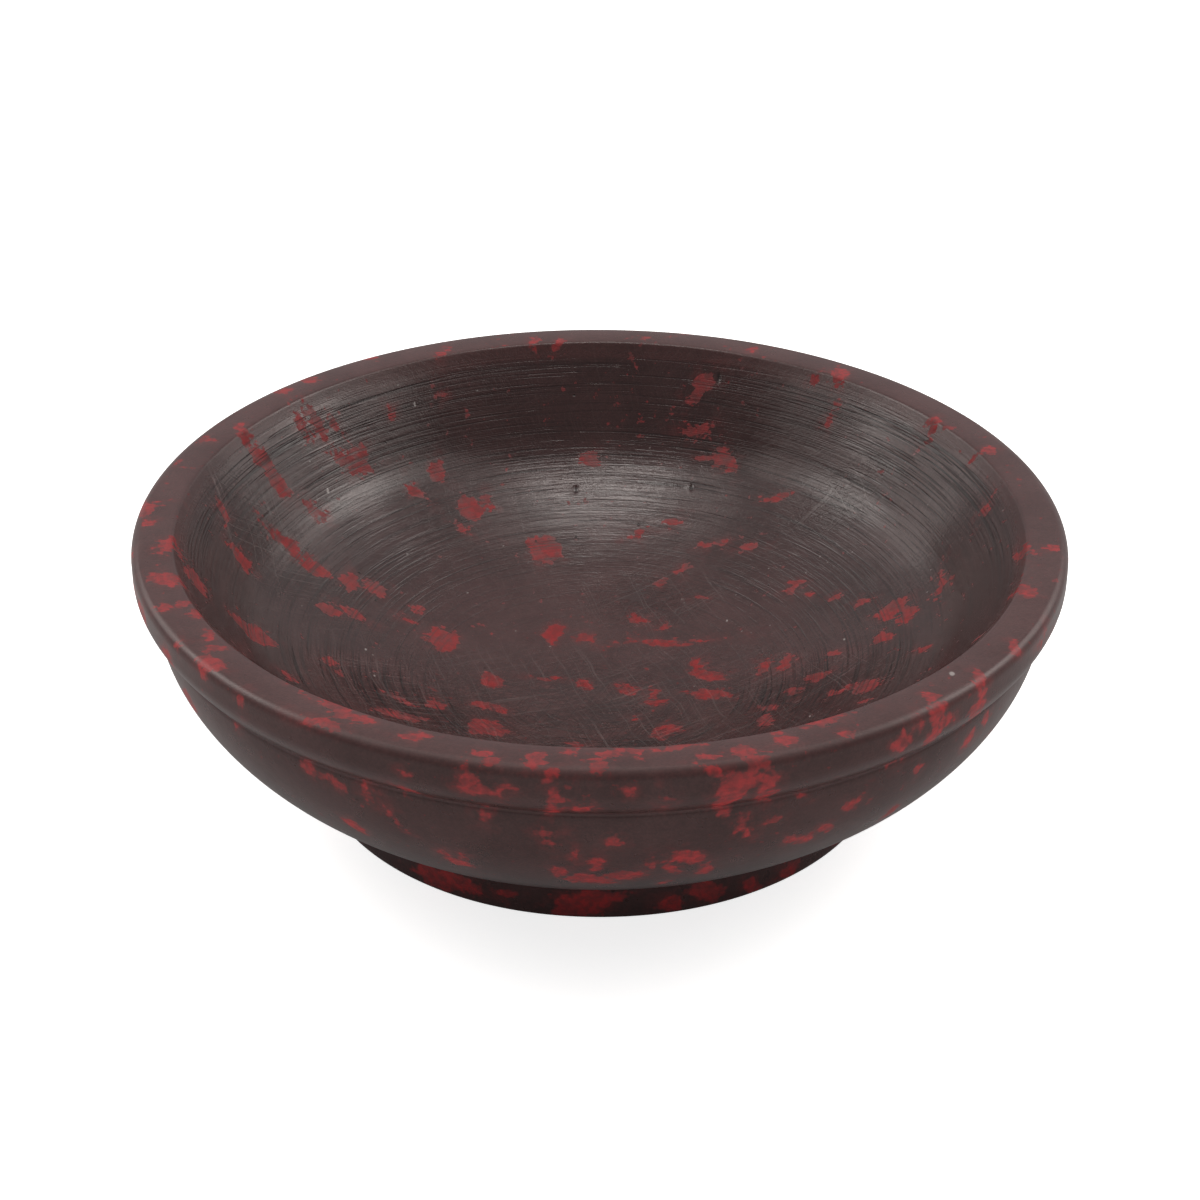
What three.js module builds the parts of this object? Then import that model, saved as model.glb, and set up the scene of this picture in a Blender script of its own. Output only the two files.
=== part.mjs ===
// A shallow incense bowl, turned from one block of soapstone.
// Millimetres, +Z up, with the origin at the centre of the flat base.

import * as THREE from 'three';

// Overall size
const RIM_RADIUS = 50;
const HEIGHT = 30.1;

// Foot: a low plain ring with a flat underside and an eased lower edge
const FOOT_RADIUS = 31.6;
const FOOT_HEIGHT = 4.5;
const FOOT_EDGE = 0.3;

// Belly: leaves the foot at a low angle and comes up plumb to the groove
const BELLY_START_ANGLE = THREE.MathUtils.degToRad(24);
const BELLY_START_REACH = 9.4;
const BELLY_END_REACH = 7.35;

// Groove: a thin V-shaped line between belly and band
const GROOVE_WIDTH = 0.5;
const GROOVE_DEPTH = 0.25;

// Band: tapers outwards above the groove, then stands upright below the rim
const BAND_HEIGHT = 6;
const BAND_TAPER = 2.05;
const BAND_UPRIGHT = 1.55;
const BAND_BEND = 1.55;

// Rim: a flat ring on top with two rounded edges
const RIM_WIDTH = 4.4;
const RIM_OUTER_EDGE = 1;
const RIM_INNER_EDGE = 1.4;

// Inside: a straight sloping wall, a cove and a dished floor
const WALL_DROP = 10.45;
const WALL_RUN = 7.6;
const COVE_RADIUS = 12;
const FLOOR_THICKNESS = 7.5;

// Facets around the axis
const SEGMENTS = 96;

const v2 = (x, y) => new THREE.Vector2(x, y);

// Small rounded edge about the centre (x, y), from angle start to angle end
function edge(x, y, radius, start, end) {
  return new THREE.EllipseCurve(x, y, radius, radius, start, end).getPoints(4);
}

// Underside and foot wall, from the axis outwards
function footProfile() {
  return [
    v2(0, 0),
    ...edge(FOOT_RADIUS - FOOT_EDGE, FOOT_EDGE, FOOT_EDGE, -Math.PI / 2, 0),
  ];
}

// Belly from the top of the foot up to the lower lip of the groove
function bellyProfile() {
  const start = v2(FOOT_RADIUS, FOOT_HEIGHT);
  const end = v2(RIM_RADIUS - BAND_TAPER, HEIGHT - BAND_HEIGHT - GROOVE_WIDTH);
  const reach = v2(Math.cos(BELLY_START_ANGLE), Math.sin(BELLY_START_ANGLE));
  const lower = start.clone().addScaledVector(reach, BELLY_START_REACH);
  const upper = v2(end.x, end.y - BELLY_END_REACH);
  return new THREE.CubicBezierCurve(start, lower, upper, end).getPoints(14);
}

// Bottom of the groove, then the band up to the rounded outer edge of the rim
function bandProfile() {
  const bottom = HEIGHT - BAND_HEIGHT;
  const grooveRadius = RIM_RADIUS - BAND_TAPER;
  const bendTop = HEIGHT - RIM_OUTER_EDGE - BAND_UPRIGHT;
  const bend = new THREE.QuadraticBezierCurve(
    v2(grooveRadius, bottom),
    v2(RIM_RADIUS, bendTop - BAND_BEND),
    v2(RIM_RADIUS, bendTop),
  );
  return [
    v2(grooveRadius - GROOVE_DEPTH, bottom - GROOVE_WIDTH / 2),
    ...bend.getPoints(5),
    ...edge(RIM_RADIUS - RIM_OUTER_EDGE, HEIGHT - RIM_OUTER_EDGE, RIM_OUTER_EDGE, 0, Math.PI / 2),
  ];
}

// Inside, from the rim's inner edge down to the axis. The floor is an arc through its centre point
// and the foot of the wall, and the cove is the arc that touches both the wall and the floor.
function insideProfile() {
  const rim = v2(RIM_RADIUS - RIM_WIDTH, HEIGHT);
  const down = v2(-WALL_RUN, -WALL_DROP).normalize();
  const inward = v2(down.y, -down.x);

  // Rounded inner edge of the rim, touching the flat top and the sloping wall
  const turn = Math.acos(-down.x);
  const setback = RIM_INNER_EDGE * Math.tan(turn / 2);
  const edgeCentre = v2(rim.x + setback, HEIGHT - RIM_INNER_EDGE);
  const innerEdge = edge(edgeCentre.x, edgeCentre.y, RIM_INNER_EDGE, Math.PI / 2, Math.PI / 2 + turn);

  const wallFoot = v2(rim.x - WALL_RUN, HEIGHT - WALL_DROP);
  const rise = wallFoot.y - FLOOR_THICKNESS;
  const floorRadius = (wallFoot.x ** 2 + rise ** 2) / (2 * rise);
  const floorCentre = v2(0, FLOOR_THICKNESS + floorRadius);

  // The cove's centre keeps COVE_RADIUS from the wall and from the floor's arc
  const offset = rim.clone().addScaledVector(inward, COVE_RADIUS).sub(floorCentre);
  const along = offset.dot(down);
  const reach = (floorRadius - COVE_RADIUS) ** 2 - offset.lengthSq() + along ** 2;
  const coveCentre = offset.addScaledVector(down, Math.sqrt(reach) - along).add(floorCentre);
  const coveStart = inward.clone().negate().angle();
  const toFloor = coveCentre.clone().sub(floorCentre);
  const coveEnd = toFloor.angle();

  const cove = new THREE.EllipseCurve(
    coveCentre.x, coveCentre.y, COVE_RADIUS, COVE_RADIUS, coveStart, coveEnd, true,
  );
  const floor = new THREE.EllipseCurve(
    floorCentre.x, floorCentre.y, floorRadius, floorRadius, coveEnd, 1.5 * Math.PI, true,
  );
  return [
    ...innerEdge,
    ...cove.getPoints(5),
    ...floor.getPoints(9).slice(1, -1),
    v2(0, FLOOR_THICKNESS),
  ];
}

// The whole section in one closed run from axis to axis, revolved about the bowl's axis
const section = [...footProfile(), ...bellyProfile(), ...bandProfile(), ...insideProfile()];
const geometry = new THREE.LatheGeometry(section, SEGMENTS);
geometry.rotateX(Math.PI / 2);

const stone = new THREE.MeshStandardMaterial({ color: 0x4e3a39, roughness: 0.42, metalness: 0 });
const bowl = new THREE.Mesh(geometry, stone);
bowl.name = 'bowl';

const incenseBowl = new THREE.Group();
incenseBowl.add(bowl);

export default incenseBowl;
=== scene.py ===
"""Looks of a turned soapstone incense bowl: one dense stone mesh, its finish, a pale floor and soft light."""
import math

import bpy
import numpy as np
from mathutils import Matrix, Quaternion, Vector


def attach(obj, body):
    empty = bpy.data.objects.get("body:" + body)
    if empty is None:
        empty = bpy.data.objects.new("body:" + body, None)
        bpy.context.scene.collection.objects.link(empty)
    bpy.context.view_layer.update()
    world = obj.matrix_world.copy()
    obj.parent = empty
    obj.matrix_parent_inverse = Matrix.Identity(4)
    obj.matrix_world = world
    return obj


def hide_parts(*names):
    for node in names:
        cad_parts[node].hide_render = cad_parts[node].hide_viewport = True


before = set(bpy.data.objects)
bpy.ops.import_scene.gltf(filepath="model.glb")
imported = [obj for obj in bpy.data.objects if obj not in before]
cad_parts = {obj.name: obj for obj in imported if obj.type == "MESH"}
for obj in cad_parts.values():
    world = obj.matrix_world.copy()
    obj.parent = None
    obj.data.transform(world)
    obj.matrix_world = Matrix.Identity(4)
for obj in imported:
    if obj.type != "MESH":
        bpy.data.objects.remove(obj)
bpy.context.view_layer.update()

MM = 0.001
SEED = 41

# Section of the bowl in mm, as in the part's source but for the rim's inner edge, which is crisper
RIM_RADIUS, HEIGHT = 50.0, 30.1
FOOT_RADIUS, FOOT_HEIGHT, FOOT_EDGE = 31.6, 4.5, 0.3
BELLY_ANGLE, BELLY_START_REACH, BELLY_END_REACH = math.radians(24), 9.4, 7.35
GROOVE_WIDTH, GROOVE_DEPTH = 0.5, 0.25
BAND_HEIGHT, BAND_TAPER, BAND_UPRIGHT, BAND_BEND = 6.0, 2.05, 1.55, 1.55
RIM_WIDTH, RIM_OUTER_EDGE, RIM_INNER_EDGE = 4.4, 1.0, 0.5
WALL_DROP, WALL_RUN, COVE_RADIUS, FLOOR_THICKNESS = 10.45, 7.6, 12.0, 7.5
# Eased corner between foot and belly in mm, and the share of the groove's depth that wear has left
FOOT_CORNER, GROOVE_LEFT = 0.35, 0.36

# Unevenness of hand turning in mm: soft waves all round and on top, the left side's rise for each mm of x,
# the fall of the rim's edges below its middle, and the tool's ripple and swell on the inside
WAVE, TOP_WAVE, LEFT_RISE, RIM_CROWN = 0.05, 0.04, 0.0050, 0.12
TOOL_RIPPLE, TOOL_SWELL = 0.0032, 0.006
# Radius of the rim's middle and half its width, in mm
RIM_MIDDLE, RIM_HALF = 47.7, 2.2

# Zones of the section, from the middle of the underside to the middle of the floor
UNDERSIDE, FOOT, BELLY, GROOVE, BAND, RIM, WALL, COVE, FLOOR = range(9)
# Points around the axis, the radius in mm within which the floor's rings are wider apart, and the last ring's
SEGMENTS, FLOOR_MIDDLE, LAST_STEP = 400, 9, 0.4
# Radius in mm where the finish turns from the rim's to the inside's, and how wide the change is
INNER_START, INNER_BLEND = 46.0, 0.5
# Radius in mm at which the turning lines and the outside's flecks are laid out
TURNING_RADIUS, SKIN_RADIUS = 46, 47.5
# Depth in mm where no fleck is near, and the number of flecks scattered over the sides that aren't seen
NO_FLECK = -9.0
UNSEEN_INSIDE, UNSEEN_OUTSIDE, UNSEEN_UNDER = 46, 180, 34

# Red flecks inside and on the rim: x, y (away from the camera), length, width in mm, tilt in degrees
RIM_FLECKS = [
    (-5.2, 45.6, 1.2, 1.0, 0), (-8.1, 45.4, 0.8, 1.2, 0), (-18.4, 43.2, 0.8, 1.6, 0),
    (-19.5, 42.2, 0.6, 1.0, 0), (-34.4, 34.2, 2.2, 1.6, 20), (-37.5, 31.0, 1.8, 1.2, 0),
    (-41.2, 21.4, 1.8, 1.2, -35), (-45.0, 18.3, 2.2, 1.4, 0), (-47.6, 12.4, 1.0, 0.8, 0),
    (-46.7, 2.8, 0.8, 0.6, 0), (-48.5, -1.8, 1.6, 1.6, 0), (-45.7, -6.9, 1.6, 3.2, 0),
    (-45.0, -13.9, 3.6, 2.4, -20), (-44.6, -19.7, 1.6, 1.0, 0), (-42.5, -19.4, 1.6, 1.6, 0),
    (-40.7, -21.3, 1.4, 1.6, 0), (-39.2, -25.6, 1.2, 2.2, 0), (-37.9, -28.3, 2.0, 1.2, 0),
    (32.2, -37.2, 1.4, 1.2, 0), (36.7, -33.1, 1.2, 1.4, 0), (41.1, -26.9, 1.2, 2.0, 0),
    (43.9, -15.9, 2.0, 2.6, 0), (45.0, -6.2, 1.0, 2.6, 0), (47.8, -6.9, 2.0, 1.4, 0),
    (43.7, 8.9, 1.0, 1.0, 0), (42.6, 7.6, 1.2, 1.2, 0), (43.4, 16.4, 1.4, 1.0, 0),
    (39.7, 21.9, 1.0, 0.8, 0), (38.1, 24.2, 1.6, 1.2, 0), (28.7, 36.4, 1.8, 2.8, 0),
    (18.4, 43.6, 1.0, 0.8, 0),
]
WALL_FLECKS = [
    (-40.6, 20.3, 2.2, 1.4, -30), (-38.6, 19.4, 2.4, 2.4, -23), (-33.2, 28.2, 2.8, 1.6, -40),
    (-31.3, 29.7, 1.4, 1.0, -26), (-34.6, 26.9, 2.2, 0.9, -54), (-29.3, 27.9, 4.6, 1.7, 14),
    (-21.8, 28.8, 2.6, 1.2, -20), (-25.0, 34.5, 1.0, 1.0, 0), (-19.2, 38.7, 1.2, 0.6, 0),
    (-18.9, 32.0, 1.6, 2.0, 0), (-36.6, 18.7, 2.2, 2.0, 2), (-32.6, 20.0, 2.0, 1.2, 0),
    (-35.6, 12.9, 4.2, 1.4, -13), (-32.3, 11.4, 3.6, 2.0, -25), (-42.0, 8.2, 2.6, 1.0, -59),
    (-39.5, 4.8, 2.6, 2.0, 0), (-37.0, -7.2, 4.6, 4.8, 0), (-42.6, -9.0, 2.4, 4.0, 0),
    (-1.2, 36.8, 1.6, 1.4, 0), (12.5, 41.1, 2.6, 1.4, 0), (11.7, 38.1, 2.2, 0.8, 0),
    (15.0, 34.2, 3.0, 2.4, -40), (12.8, 35.4, 0.9, 0.9, 0), (25.6, 36.8, 1.2, 0.6, 0),
    (28.0, 33.0, 1.4, 0.6, 0), (38.0, 22.9, 0.8, 1.4, 0), (20.9, 28.7, 2.6, 1.2, 0),
    (38.1, 3.9, 0.6, 3.0, 0),
]
FLOOR_FLECKS = [
    (-15.6, 28.6, 2.6, 3.0, 0), (-13.6, 29.8, 0.8, 1.6, 0), (-16.4, 25.8, 2.2, 0.8, -30),
    (-13.0, 24.5, 1.2, 0.8, 0), (-6.5, 24.6, 4.0, 3.4, 0), (8.6, 28.2, 1.4, 0.8, 0),
    (4.7, 27.0, 1.6, 0.8, 0), (13.0, 23.9, 2.2, 0.8, 0), (17.5, 22.4, 2.0, 1.0, -25),
    (9.4, 21.2, 1.6, 1.0, 0), (6.9, 19.7, 1.2, 1.2, 0), (11.4, 16.2, 1.2, 0.8, 0),
    (23.4, 15.1, 1.4, 1.0, -40), (22.4, 14.0, 1.6, 1.2, 0), (24.5, 12.9, 0.9, 0.9, 0),
    (27.2, 10.4, 0.9, 0.9, 0), (4.2, 14.0, 1.2, 0.8, 0), (7.2, 12.3, 1.4, 1.0, 0),
    (-28.6, 12.3, 2.0, 3.0, 0), (-25.4, 12.6, 2.4, 2.0, 0), (-20.9, 12.0, 1.6, 1.4, 0),
    (-21.9, 9.2, 1.2, 0.8, 0), (-17.8, 7.3, 3.4, 3.4, 0), (-30.0, 5.6, 1.6, 1.6, 0),
    (-27.6, 6.9, 2.0, 0.8, 0), (-5.2, 11.4, 2.4, 2.6, 0), (-2.3, 10.9, 1.8, 1.4, 0),
    (6.9, 9.5, 6.0, 0.6, -4), (10.3, 9.2, 2.2, 0.8, -15), (29.6, 7.6, 1.6, 1.4, -50),
    (-12.2, 1.5, 2.6, 2.2, 0), (-5.6, 3.1, 2.0, 0.6, 0), (-2.3, 2.1, 1.8, 2.4, 0), (3.1, 1.5, 2.2, 1.2, 0),
    (11.2, 4.8, 1.2, 2.0, 0), (12.2, 2.6, 3.8, 1.8, -35), (12.3, -1.5, 4.6, 1.8, -30),
    (5.9, 0.4, 1.0, 2.0, 0), (6.2, -1.5, 2.3, 1.5, 0), (18.1, 2.0, 1.4, 2.6, 0), (20.8, 1.0, 1.6, 2.0, 0),
    (25.9, 0.0, 1.6, 1.2, 0), (31.2, -0.5, 2.0, 2.5, 0), (32.8, 4.4, 2.8, 1.8, 0),
    (34.2, 1.6, 2.4, 2.2, 35), (23.7, -3.6, 2.2, 2.0, -45), (20.8, -5.5, 1.6, 1.2, 0),
    (17.7, -7.2, 2.4, 1.6, -40), (34.6, -6.9, 1.4, 1.6, 0), (25.6, -8.9, 1.4, 1.4, 0),
    (28.4, -10.0, 3.0, 3.2, 0), (18.0, -10.6, 1.6, 1.8, 0), (7.0, -9.5, 3.4, 3.6, 0),
    (28.4, -14.2, 1.4, 1.0, 0), (3.6, -5.3, 1.0, 0.8, 0), (-29.5, -5.1, 1.4, 1.6, 0),
    (-28.6, -6.6, 1.2, 1.0, 0), (-22.3, -7.5, 3.4, 1.4, -15), (-18.2, -6.6, 2.2, 1.6, 20),
    (-21.4, -11.7, 4.2, 1.6, 0), (-12.0, -4.7, 2.8, 1.6, -15), (-12.2, -9.7, 3.6, 4.6, 0),
    (-33.2, -13.1, 1.2, 1.2, 0), (-2.3, -11.7, 1.4, 1.0, 0),
]
# Red flecks on the front of the rim and outside: degrees to the right of the front, path down from the rim's
# outer edge (below 0 on the rim), size along and down in mm, tilt in degrees
FRONT_FLECKS = [
    (-38.5, -3.8, 2.5, 0.8, 0), (-32.5, -3.2, 4.2, 1.8, -10), (-29.0, -3.0, 2.1, 1.0, -10),
    (-33.0, -0.6, 2.9, 1.0, 0), (-30.7, -0.5, 1.3, 1.2, 0), (-21.3, -2.7, 2.0, 1.2, 0),
    (-12.9, -1.7, 1.2, 1.0, 0), (-12.0, -0.8, 1.0, 1.4, 0), (-7.0, -1.6, 2.2, 2.8, 0),
    (-5.4, 0.3, 1.0, 1.6, -30), (-3.0, -3.5, 1.3, 1.0, 0), (-0.5, -1.2, 1.0, 1.6, 0),
    (1.5, -3.2, 2.1, 1.2, 0), (4.2, -2.8, 1.0, 1.0, 0), (9.0, -3.7, 4.2, 1.0, 0), (11.8, -1.4, 1.6, 0.8, 0),
    (15.9, -1.6, 2.3, 2.0, -20), (16.8, -0.4, 3.1, 1.8, -15), (21.5, -2.8, 1.8, 2.2, -20),
    (27.8, -3.9, 3.8, 0.8, 0), (28.2, -1.0, 1.2, 0.7, 0), (56.5, -0.7, 1.3, 1.2, 0),
    (-51.0, -0.8, 2.7, 1.6, 0), (-50.0, 0.5, 1.3, 1.2, 0), (-57.6, 0.0, 1.1, 1.0, 0),
    (-66.3, -0.8, 0.8, 1.2, 0), (-43.9, 1.0, 0.8, 1.6, 0), (-14.5, 1.8, 1.6, 2.0, 0),
    (-13.0, 2.6, 2.1, 1.2, -15), (-10.9, 2.6, 1.1, 2.0, 0), (-9.2, 1.6, 1.0, 0.8, 0),
    (-21.3, 2.0, 1.3, 1.2, -30), (-5.4, 4.3, 1.2, 4.2, 5), (-5.0, 2.8, 1.5, 1.6, 0),
    (-3.6, 1.2, 0.6, 0.8, 0), (-2.0, 4.5, 1.8, 2.6, 15), (-22.0, 5.6, 2.0, 1.2, 0),
    (12.1, 0.6, 1.3, 1.2, -30), (14.2, 3.6, 3.0, 5.2, -8), (13.4, 2.2, 1.8, 2.6, 0),
    (16.2, 1.0, 1.6, 1.6, 0), (17.0, 2.0, 1.3, 0.9, -30), (18.0, 2.6, 1.2, 3.4, -5),
    (18.4, 5.0, 1.3, 2.6, -8), (19.0, 7.0, 1.2, 1.4, 0), (3.2, 1.8, 1.7, 1.2, 0), (7.0, 3.3, 0.6, 1.6, -10),
    (35.3, 2.3, 2.5, 2.0, 10), (38.0, 0.8, 0.8, 1.2, 0), (40.8, -0.2, 1.2, 1.0, 0),
    (40.5, 0.9, 1.4, 2.0, 0), (42.0, 1.4, 1.4, 1.0, -20), (40.5, 3.2, 1.8, 3.0, -15),
    (47.9, -0.4, 1.3, 1.4, 0), (48.1, 1.0, 1.1, 1.8, 0), (47.6, 2.4, 2.9, 2.2, 0),
    (48.6, 4.6, 2.0, 3.2, -25), (-36.3, 7.3, 2.1, 1.0, -10), (-33.2, 7.7, 3.8, 1.2, -12),
    (-31.3, 8.2, 1.3, 1.2, 0), (-27.8, 7.4, 1.2, 2.6, 8), (-24.5, 9.9, 3.8, 0.9, -56),
    (-29.5, 9.6, 0.8, 0.8, 0), (-13.0, 7.8, 0.7, 1.4, 0), (-6.0, 9.1, 1.5, 0.9, 0),
    (-5.4, 10.7, 1.3, 1.0, -20), (-3.1, 12.2, 0.6, 1.6, 0), (-32.0, 14.6, 2.5, 2.6, 0),
    (-19.3, 15.0, 1.0, 2.0, 0), (-17.8, 16.6, 2.8, 2.0, 0), (-16.0, 14.9, 0.9, 2.0, 10),
    (-5.6, 15.9, 1.7, 2.4, 0), (-0.4, 14.0, 1.3, 2.4, 0), (-2.6, 17.7, 2.5, 2.4, 0),
    (-0.4, 18.0, 1.8, 3.0, 0), (3.2, 16.6, 3.2, 2.6, 0), (0.8, 18.3, 1.7, 3.0, 15),
    (1.6, 10.0, 1.7, 1.6, 0), (16.6, 9.2, 1.2, 2.2, -10), (17.3, 10.6, 1.0, 1.2, 0),
    (20.5, 9.3, 1.0, 0.8, -30), (30.6, 10.0, 1.7, 1.4, -20), (10.8, 13.3, 2.4, 4.0, 15),
    (9.3, 15.5, 1.3, 3.0, 20), (6.2, 14.0, 0.8, 1.4, 0), (23.7, 13.3, 2.2, 1.4, -10),
    (25.5, 14.2, 2.0, 1.8, -35), (28.3, 13.2, 2.2, 1.8, 10), (13.3, 17.0, 1.4, 2.4, -10),
    (8.8, 20.5, 1.2, 3.0, 0), (23.2, 7.0, 1.2, 0.7, 0), (13.5, 7.2, 1.5, 0.9, -15),
    (36.0, 7.0, 1.7, 0.7, 0), (40.5, 9.4, 1.7, 1.6, 0), (50.2, 9.5, 1.7, 2.4, 0), (53.7, 8.5, 1.3, 2.0, 0),
    (39.3, 15.8, 1.8, 2.8, -30), (-49.0, 6.9, 1.2, 0.8, 0), (-27.0, 28.6, 3.0, 1.0, 0),
    (43.0, 28.4, 3.0, 1.0, 0),
]
# Dull red patches on the dark foot: degrees to the right of the front, height, length, width in mm, tilt
FOOT_FLECKS = [
    (-2.8, 1.8, 8.4, 3.6, 0), (-17.9, 2.3, 1.4, 1.0, 0), (-30.0, 1.8, 9.0, 2.6, 0),
    (13.0, 1.2, 2.4, 1.8, 0), (20.5, 1.8, 3.8, 2.4, 0), (30.0, 1.4, 2.0, 1.6, 0), (38.5, 1.2, 2.4, 1.6, 0),
    (46.0, 3.0, 4.0, 2.2, 0), (55.0, 1.6, 4.0, 2.2, 0), (82.0, 2.0, 5.0, 2.4, 0), (-62.0, 1.4, 4.0, 1.8, 0),
    (-95.0, 2.0, 7.0, 2.8, 0), (120.0, 1.6, 8.0, 2.6, 0), (150.0, 2.2, 3.0, 2.0, 0),
    (-130.0, 1.6, 3.0, 1.8, 0), (-165.0, 1.8, 6.0, 2.6, 0),
]
# Rubbed places where fine crossing scratches show: x, y, radius along x and y in mm
SCUFFS = [
    (-38.0, 10.0, 6.5, 7.5), (-18.0, -8.0, 14.0, 9.0), (21.5, -8.5, 12.0, 9.5), (2.0, -12.0, 17.0, 9.0),
    (6.0, 17.0, 9.0, 5.0), (28.0, 24.0, 6.0, 4.0), (8.0, -27.0, 14.0, 7.0), (0.0, -2.0, 25.0, 12.0),
]
# Places where the lines and scratches are darker, with dirt and painted shade in them, in the same terms
GRIME_AND_SHADE = [
    (-20.0, -9.0, 15.0, 10.0), (22.0, -8.5, 13.0, 11.0), (2.0, -13.0, 20.0, 11.0), (4.0, -30.0, 26.0, 14.0),
]
# The palest specks and chips: x, y and radius in mm
SPECKS = [
    (34.3, -32.2, 0.32), (-31.7, 22.9, 0.18), (-22.2, 36.3, 0.14), (-26.0, 0.9, 0.14), (-24.7, -4.0, 0.13),
    (14.6, 11.9, 0.12), (27.2, 2.3, 0.13), (22.4, -12.7, 0.13),
]
# Small pits: x, y, radius and depth in mm
PITS = [
    (-2.9, 32.8, 0.7, 0.14), (14.4, 41.2, 0.7, 0.14), (11.0, 32.2, 0.65, 0.12), (-20.5, -26.0, 0.7, 0.2),
    (27.0, -24.0, 0.65, 0.18), (34.4, -31.7, 0.8, 0.14), (38.6, -28.8, 0.6, 0.1),
]

# Ground on the inside's floor, on its wall, and on the rim and outside, then the flecks
FLOOR_DEEP, FLOOR_PALE = (0.049, 0.0172, 0.0167), (0.068, 0.0262, 0.0255)
WALL_DEEP, WALL_PALE = (0.034, 0.0137, 0.0133), (0.051, 0.0221, 0.0215)
OUTER_DEEP, OUTER_PALE = (0.054, 0.0200, 0.0195), (0.076, 0.0310, 0.0302)
INNER_RED, INNER_RED_DULL = (0.240, 0.0160, 0.0175), (0.158, 0.0160, 0.0170)
RIM_RED, RIM_RED_DULL = (0.255, 0.0205, 0.0225), (0.158, 0.0200, 0.0215)
# the outside's red is paler than the inside's, in part a painted lift of light for the outside, which the
# lamps reach less
OUTER_RED, OUTER_RED_DULL = (0.400, 0.0260, 0.0285), (0.245, 0.0245, 0.0265)
# A pale dust, and a near black that is soot and dark grain and also paints shade in lines, scratches, cuts,
# pinholes and pits
DUST, SOOT_AND_SHADE = (0.30, 0.27, 0.26), (0.008, 0.005, 0.005)
# The floor's colour in the light that it throws up, in the stone's gloss and to the camera,
# and the white that is added to the last two
PAPER, PAPER_IN_GLOSS, PAPER_SEEN = 0.88, 0.36, 0.85
GLOW_IN_GLOSS, GLOW_SEEN = 0.11, 0.77
# Slightly warm lamps
LAMP_COLOUR = (1.0, 0.93, 0.885)


# Camera and view
def make_camera():
    """Camera at the photograph's angle: on the bowl's front, looking down at a point on its axis."""
    distance, elevation, aim = 0.300, math.radians(29.725), Vector((0, 0, 0.019763))
    data = bpy.data.cameras.new("camera")
    data.sensor_width, data.lens = 36.0, 82.2
    data.clip_start, data.clip_end = 0.01, 20
    camera = bpy.data.objects.new("camera", data)
    camera.location = aim + distance * Vector((0, -math.cos(elevation), math.sin(elevation)))
    camera.rotation_euler = (aim - camera.location).to_track_quat("-Z", "Y").to_euler()
    bpy.context.collection.objects.link(camera)
    bpy.context.scene.camera = camera


# Section
def spread(points, step):
    """Points at even distances, about step apart, along a run of points. The last point is left out."""
    run = np.asarray(points, float)
    lengths = np.concatenate([[0], np.cumsum(np.hypot(*np.diff(run, axis=0).T))])
    count = max(1, round(lengths[-1] / step))
    at = np.linspace(0, lengths[-1], count + 1)[:-1]
    return np.column_stack([np.interp(at, lengths, run[:, 0]), np.interp(at, lengths, run[:, 1])])


def arc(centre, radius, start, end):
    angles = np.linspace(start, end, 60)
    return [(centre[0] + radius * math.cos(a), centre[1] + radius * math.sin(a)) for a in angles]


def bezier(*points):
    curve = []
    for t in np.linspace(0, 1, 200):
        row = [np.array(p, float) for p in points]
        while len(row) > 1:
            row = [a * (1 - t) + b * t for a, b in zip(row, row[1:])]
        curve.append(tuple(row[0]))
    return curve


def outside_runs():
    """Underside, foot, belly, groove and band: a zone, its points and their spacing in mm for each run."""
    foot_edge = (FOOT_RADIUS - FOOT_EDGE, FOOT_EDGE)
    corner_start = (FOOT_RADIUS, FOOT_HEIGHT - FOOT_CORNER)
    lip = RIM_RADIUS - BAND_TAPER
    upper = HEIGHT - BAND_HEIGHT
    lower = upper - GROOVE_WIDTH

    start = (FOOT_RADIUS, FOOT_HEIGHT)
    reach_x, reach_z = BELLY_START_REACH * math.cos(BELLY_ANGLE), BELLY_START_REACH * math.sin(BELLY_ANGLE)
    reach = (start[0] + reach_x, start[1] + reach_z)
    belly = bezier(start, reach, (lip, lower - BELLY_END_REACH), (lip, lower))[3:]
    corner = bezier(corner_start, start, belly[0])

    groove = []
    for t in np.linspace(-1, 1, 60):
        # a V with a slightly rounded bottom and eased lips
        fall = max(0.0, 1.06 - math.sqrt(t * t + 0.05)) * (1 - 0.25 * t * t)
        groove.append((lip - GROOVE_LEFT * GROOVE_DEPTH * fall + 0.02, lower + GROOVE_WIDTH * (t + 1) / 2))

    bend_top = HEIGHT - RIM_OUTER_EDGE - BAND_UPRIGHT
    band = bezier((lip, upper), (RIM_RADIUS, bend_top - BAND_BEND), (RIM_RADIUS, bend_top))
    rim_edge = (RIM_RADIUS - RIM_OUTER_EDGE, HEIGHT - RIM_OUTER_EDGE)
    return [
        (UNDERSIDE, [(1.5, 0), (FOOT_RADIUS - FOOT_EDGE, 0)], 2.4),
        (FOOT, arc(foot_edge, FOOT_EDGE, -math.pi / 2, 0), 0.13),
        (FOOT, [(FOOT_RADIUS, FOOT_EDGE), corner_start], 0.5),
        (FOOT, corner, 0.14),
        (BELLY, belly, 0.44),
        (GROOVE, groove, 0.1),
        (BAND, band, 0.4),
        (BAND, [(RIM_RADIUS, bend_top), (RIM_RADIUS, HEIGHT - RIM_OUTER_EDGE)], 0.4),
        (BAND, arc(rim_edge, RIM_OUTER_EDGE, 0, math.pi / 2), 0.16),
    ]


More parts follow.
